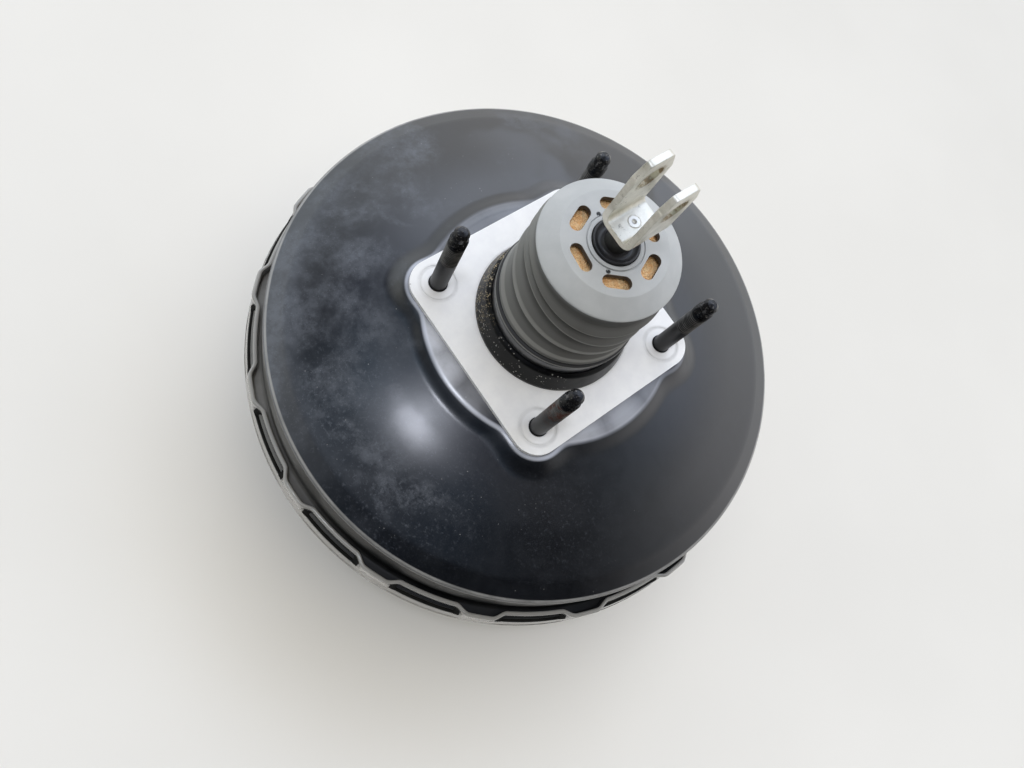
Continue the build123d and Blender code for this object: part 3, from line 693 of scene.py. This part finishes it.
# dust boot: bead, three uneven folds, drum and vented face
def boot():
    def soft(a, top, w=1.5):
        d = a - top
        return top + 0.5 * (d - math.sqrt(d * d + w * w))

    def profile(t):
        c, s = math.cos(t), math.sin(t)
        f1 = soft(38.8 - 4.95 * c + 0.2 * s, 43.5)
        f2 = soft(50.7 - 9.45 * c - 2.8 * s, 57.0)
        f3 = soft(61.5 - 7.93 * c + 2.0 * s, 63.0)
        f2 = max(f2, f1 + 3.6)
        f3 = max(f3, f2 + 3.2)
        f3 = min(f3, 64.5)
        g = 0.55 + 0.25 * c
        pts = [(28.9, 16.2), (30.0, 16.2), (30.15, 19.5), (32.6, 19.7, 0.5), (33.0, 20.6, 0.5), (32.5, 21.5, 0.4), (31.2, 21.8, 0.3),
               (31.1, 22.7, 0.3), (31.9, 23.0, 0.3), (32.0, 23.9, 0.4)]
        low = 23.9
        r0 = 31.7
        path = [list(p) for p in pts]
        for k, (z, lip) in enumerate(((f1, 31.4), (f2, 31.2), (f3, 31.2))):
            span = z - low
            under = 28.5 - 0.15 * k
            path += [[r0 - 0.35, low + span * 0.22, 2.0], [under + 0.9, low + span * 0.62, 4.0], [under, z - 0.9, 0.8],
                     [lip - 0.9, z - 0.45, 0.3], [lip, z - 0.05, 0.35]]
            low = z
            r0 = lip
        span = 66.5 - low
        path += [[29.2, low + span * 0.5, 2.0], [29.0, 66.3, 1.0], [30.5, 68.5, 0.9], [27.5, 70.4, 14.0], [22.4, 73.5, 1.0],
                 [12.2, 73.6], [12.15, 73.0], [11.65, 73.0], [11.6, 73.9, 0.25], [10.0, 73.9, 0.25], [10.0, 71.2], [21.3, 71.2],
                 [27.7, 66.6], [27.7, 60.6], [26.3, 60.6], [26.3, 27.0], [28.7, 22.0], [28.9, 19.5]]
        out = []
        n = len(path)
        for i in range(n):
            a, b, e = (np.array(path[j % n][:2], float) for j in (i - 1, i, i + 1))
            f = path[i][2] if len(path[i]) > 2 else 0.0
            la, le = np.linalg.norm(b - a), np.linalg.norm(e - b)
            u, v = (b - a) / la, (e - b) / le
            turn = math.atan2(u[0] * v[1] - u[1] * v[0], float(u @ v))
            if f <= 0 or abs(turn) < 1e-3:
                out += [b] * 1
                continue
            tl = min(f * math.tan(abs(turn) / 2), 0.45 * la, 0.45 * le)
            f = tl / math.tan(abs(turn) / 2)
            sg = 1.0 if turn > 0 else -1.0
            p0 = b - u * tl
            cc = p0 + np.array([-u[1], u[0]]) * f * sg
            for q in range(5):
                w = turn * q / 4
                d = p0 - cc
                out.append(cc + np.array([d[0] * math.cos(w) - d[1] * math.sin(w), d[0] * math.sin(w) + d[1] * math.cos(w)]))
        return np.array(out) * MM

    v, f = lathe(profile, 288)
    o = link("boot", v, f, M["dust_boot"], None)
    # vents
    cut_v, cut_f = [], []
    for k in range(6):
        a = math.radians(-156.6 + 60 * k)
        ring = []
        w, h = 2.75, 3.3
        for q in range(24):
            b = 2 * math.pi * (q + 0.5) / 24
            px, py = 16.3 + w * math.cos(b), (h if math.sin(b) > 0 else -h) + w * math.sin(b)
            ring.append((px * math.cos(a) - py * math.sin(a), px * math.sin(a) + py * math.cos(a)))
        base = len(cut_v)
        for zz in (69.0, 76.0):
            cut_v += [(x * MM, y * MM, zz * MM) for x, y in ring]
        m = len(ring)
        cut_f.append(tuple(base + i for i in reversed(range(m))))
        cut_f.append(tuple(base + m + i for i in range(m)))
        for i in range(m):
            j = (i + 1) % m
            cut_f.append((base + i, base + j, base + m + j, base + m + i))
    cut = link("boot_vents", cut_v, cut_f, M["dust_boot"], None)
    mod = o.modifiers.new("vents", "BOOLEAN")
    mod.operation = "DIFFERENCE"
    mod.solver = "EXACT"
    mod.object = cut
    dg = bpy.context.evaluated_depsgraph_get()
    me = bpy.data.meshes.new_from_object(o.evaluated_get(dg))
    o.modifiers.clear()
    o.data = me
    bpy.data.objects.remove(cut)
    bm = bmesh.new()
    bm.from_mesh(me)
    for fc in bm.faces:
        fc.smooth = True
    for e in bm.edges:
        e.smooth = not (len(e.link_faces) == 2 and e.calc_face_angle(0.0) > math.radians(48))
    bm.to_mesh(me)
    bm.free()
    dress(o, M["dust_boot"])
    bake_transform(o)
    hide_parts("dust_boot")
    return o


boot()


# front shell: skirt with sixteen lobes, pressed-in strips with windows under them, and the drawn body below
def front_shell():
    step = 360.0 / 16
    z_top, z_strip, z_window, z_cut = -48.4, -54.2, -57.0, -63.0

    def ease(v, a, b):
        v = min(max((v - a) / (b - a), 0.0), 1.0)
        return v * v * (3 - 2 * v)

    def profile(t):
        u = math.degrees(t) % step
        u = min(u, step - u)                      # 0 in the middle of a lobe
        q = ease(u, 2.3, 5.4)                     # 1 in a strip
        w = ease(u, 4.9, 5.5)                     # 1 in a window
        outer = 135.0 - 3.1 * q
        inner = outer - 2.1
        pts = [(126.5, z_cut), (132.7, z_cut), (132.7, z_window), (inner, z_strip - 0.2), (inner, z_top - 1.05)]
        for k in range(9):
            a = math.pi - math.pi * k / 8
            pts.append((outer - 1.05 + 1.05 * math.cos(a), z_top - 1.05 + 1.05 * math.sin(a)))
        pts += [(outer, z_top - 2.6), (outer, z_strip + 0.7), (outer - 0.25 * w, z_strip + 0.15)]
        low = 135.0 - 0.45 * q
        deep = outer * (1 - w) + 131.2 * w
        pts += [(outer * (1 - w) + (outer - 0.7) * w, z_strip - 0.02), (deep, z_strip - 0.1),
                (deep * w + low * (1 - w), z_window - 0.05), ((low - 1.0) * w + low * (1 - w), z_window - 0.1),
                ((low - 0.3) * w + low * (1 - w), z_window - 0.2), (low, z_window - 0.55), (low, z_window - 1.5)]
        pts += [(low + 0.45, -60.0), (135.78, z_cut)]
        return np.array(pts) * MM

    v, f = lathe(profile, 1440)
    o = link("skirt", v, f, M["front_shell"], 44)
    # the window recesses under the strips get the painted-shade material
    o.data.materials.append(M["window_painted_shade"])
    for poly in o.data.polygons:
        c = poly.center
        rr = math.hypot(c.x, c.y) / MM
        if 129.5 < rr < 134.15 and -57.4 < c.z / MM < -53.9 and poly.normal.z > -0.5:
            poly.material_index = 1
    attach(o, "housing")

    src = nodes["front_shell"]
    bm = bmesh.new()
    bm.from_mesh(src.data)
    bm.transform(src.matrix_world)
    bmesh.ops.remove_doubles(bm, verts=bm.verts, dist=2e-6)
    bmesh.ops.bisect_plane(bm, geom=bm.verts[:] + bm.edges[:] + bm.faces[:], plane_co=(0, 0, -0.0622),
                           plane_no=(0, 0, 1), clear_outer=True)
    bm.verts.index_update()
    verts = [v.co.copy() for v in bm.verts]
    faces = [[v.index for v in f.verts] for f in bm.faces]
    bm.free()
    body = link("shell_front", verts, faces, M["front_shell"], 38)
    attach(body, "housing")
    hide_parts("front_shell")


front_shell()


# coil springs, copied from the imported parts as smooth-shaded meshes
def coil(name, node):
    src = nodes[node]
    verts = [src.matrix_world @ v.co for v in src.data.vertices]
    faces = [list(f.vertices) for f in src.data.polygons]
    o = link(name, verts, faces, M[node], 50)
    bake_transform(o)
    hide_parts(node)


coil("piston_spring", "return_spring")
coil("rod_spring", "rod_return_spring")
coil("valve_spring", "check_valve_spring")


# foam ring seen through the vents
def foam():
    p = rounded_path([(10.9, 63.0), (26.0, 63.0), (26.0, 65.6, 0.8), (21.4, 69.1, 1.5), (10.9, 69.1, 0.8)], 0.6)
    v, f = lathe(lambda t: (p + np.array([[0.0, 0.22 * math.sin(9 * t) + 0.15 * math.sin(23 * t)]]) * (p[:, 1:] > 68.0)) * MM, 180)
    o = link("foam_ring", v, f, M["air_filter"], 60)
    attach(o, "power_piston")
    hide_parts("air_filter")


foam()


# bush in the middle of the boot: a smooth dish round the rod
def bush():
    p = rounded_path([(5.15, 64.2), (9.6, 64.2), (9.75, 74.9, 0.5), (9.0, 75.1, 0.6), (7.9, 73.6, 2.6), (6.4, 73.2, 1.6), (5.15, 74.6)], 0.25)
    v, f = lathe(lambda t: p * MM, 128)
    o = link("rod_dish", v, f, M["rod_bush"], 55)
    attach(o, "input")
    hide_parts("rod_bush")


bush()


# ============================================================ floor, light, camera
def floor():
    me = bpy.data.meshes.new("floor")
    s = 3.0
    z = box_cad[0].z
    me.from_pydata([(-s, -s, z), (s, -s, z), (s, s, z), (-s, s, z)], [], [(0, 1, 2, 3)])
    o = bpy.data.objects.new("floor", me)
    scene.collection.objects.link(o)
    g = Graph("floor_paper")
    n = g.noise(1200, 4, 0.7)
    m = g.noise(5, 3, 0.5)
    base = g.mix(g.span(m, 0.3, 0.7), (0.80, 0.785, 0.75), (0.83, 0.815, 0.78))
    dress(o, g.done(base, 0.85, 0.0, g.bump(n, 0.08, 0.0003)))
    return o


floor()

cam = bpy.data.cameras.new("camera")
cam_o = bpy.data.objects.new("camera", cam)
scene.collection.objects.link(cam_o)
cam.lens = 29.04
cam.sensor_width = 36.0
cam.clip_start, cam.clip_end = 0.01, 20.0
fwd = Vector((-0.08645525, 0.39288963, -0.91551255)).normalized()
up = Vector((-0.8180432, 0.4965048, 0.29032449)).normalized()
right = fwd.cross(up).normalized()
up = right.cross(fwd).normalized()
cam_o.matrix_world = Matrix(((right.x, up.x, -fwd.x, 0.04832), (right.y, up.y, -fwd.y, -0.17933),
                             (right.z, up.z, -fwd.z, 0.33247), (0, 0, 0, 1)))
scene.camera = cam_o

world = bpy.data.worlds.new("world")
scene.world = world
world.use_nodes = True


class Sky(Graph):
    def __init__(self):
        self.t = world.node_tree
        self.bg = self.t.nodes["Background"]
        self.obj = self.node("ShaderNodeTexCoord").outputs["Generated"]


sky = Sky()
sx, sy, sz = sky.sep()
across = sky.math("SQRT", sky.math("ADD", sky.math("MULTIPLY", sx, sx), sky.math("MULTIPLY", sy, sy)))
turn = sky.math("ARCTAN2", sy, sx)
# soft studio light: rings of the sky by distance from the zenith, eight bearings each
RINGS = (0.0, 0.35, 0.65, 0.90)
LEVELS = {
    (0, 0): (0.0, 0.0, 0.10),
    (1, 0): (0.29, 0.29, 0.30), (1, 4): (0.35, 0.44, 0.57), (1, 5): (0.49, 0.76, 1.09), (1, 7): (0.07, 0.17, 0.31),
    (2, 1): (0.31, 0.36, 0.42), (2, 2): (1.59, 1.89, 2.56), (2, 3): (3.40, 3.75, 4.40), (2, 4): (0.0, 0.0, 0.08),
    (2, 6): (0.09, 0.13, 0.20),
    (3, 1): (1.20, 1.19, 1.21), (3, 2): (1.09, 1.13, 1.18), (3, 3): (1.14, 1.13, 1.13), (3, 4): (1.12, 1.22, 1.31),
    (3, 5): (1.00, 1.01, 0.95),
}


def ring_weight(k):
    up = sky.math("DIVIDE", sky.math("SUBTRACT", across, RINGS[k - 1]), RINGS[k] - RINGS[k - 1], clamp=True) if k > 0 else None
    down = sky.math("DIVIDE", sky.math("SUBTRACT", RINGS[k + 1], across), RINGS[k + 1] - RINGS[k], clamp=True) if k < 3 else None
    if up is None:
        return down
    return up if down is None else sky.math("MINIMUM", up, down)


def bearing_weight(k):
    off = sky.math("SUBTRACT", turn, 2 * math.pi * k / 8)
    off = sky.math("ABSOLUTE", sky.math("ARCTAN2", sky.math("SINE", off), sky.math("COSINE", off)))
    return sky.math("SUBTRACT", 1.0, sky.math("DIVIDE", off, 2 * math.pi / 8), clamp=True)


rings = [ring_weight(k) for k in range(4)]
bearings = [bearing_weight(k) for k in range(8)]
total = None
for (ring, bearing), level in LEVELS.items():
    w = rings[ring] if ring == 0 else sky.math("MULTIPLY", rings[ring], bearings[bearing])
    part = sky.vmath("MULTIPLY", sky.comb(w, w, w), level)
    total = part if total is None else sky.vmath("ADD", total, part)
sky.put(sky.bg.inputs["Color"], total)
sky.bg.inputs["Strength"].default_value = 1.0
# plain pale backdrop past the floor; the light itself stays that of the sky above
paper = sky.node("ShaderNodeBackground")
paper.inputs["Color"].default_value = (0.78, 0.78, 0.77, 1.0)
seen = sky.node("ShaderNodeLightPath")
both = sky.node("ShaderNodeMixShader")
sky.t.links.new(seen.outputs["Is Camera Ray"], both.inputs[0])
sky.t.links.new(sky.bg.outputs[0], both.inputs[1])
sky.t.links.new(paper.outputs[0], both.inputs[2])
sky.t.links.new(both.outputs[0], sky.t.nodes["World Output"].inputs["Surface"])


def area(name, loc, aim, size, power, color=(1, 1, 1), shape="DISK"):
    l = bpy.data.lights.new(name, "AREA")
    l.shape = shape
    l.size = size
    l.energy = power
    l.color = color
    o = bpy.data.objects.new(name, l)
    scene.collection.objects.link(o)
    o.location = loc
    o.rotation_mode = "QUATERNION"
    o.rotation_quaternion = (Vector(aim) - Vector(loc)).to_track_quat("-Z", "Y")
    return o


area("lamp", (-0.12, -0.48, 1.95), (0, 0, 0), 0.30, 6.8, (0.92, 0.96, 1.08))
soft = area("overhead", (0, 0, 2.2), (0, 0, 0), 3.0, 26.5, (1.12, 1.0, 0.76))
soft.visible_glossy = False

scene.view_settings.view_transform = "Standard"
scene.view_settings.look = "None"
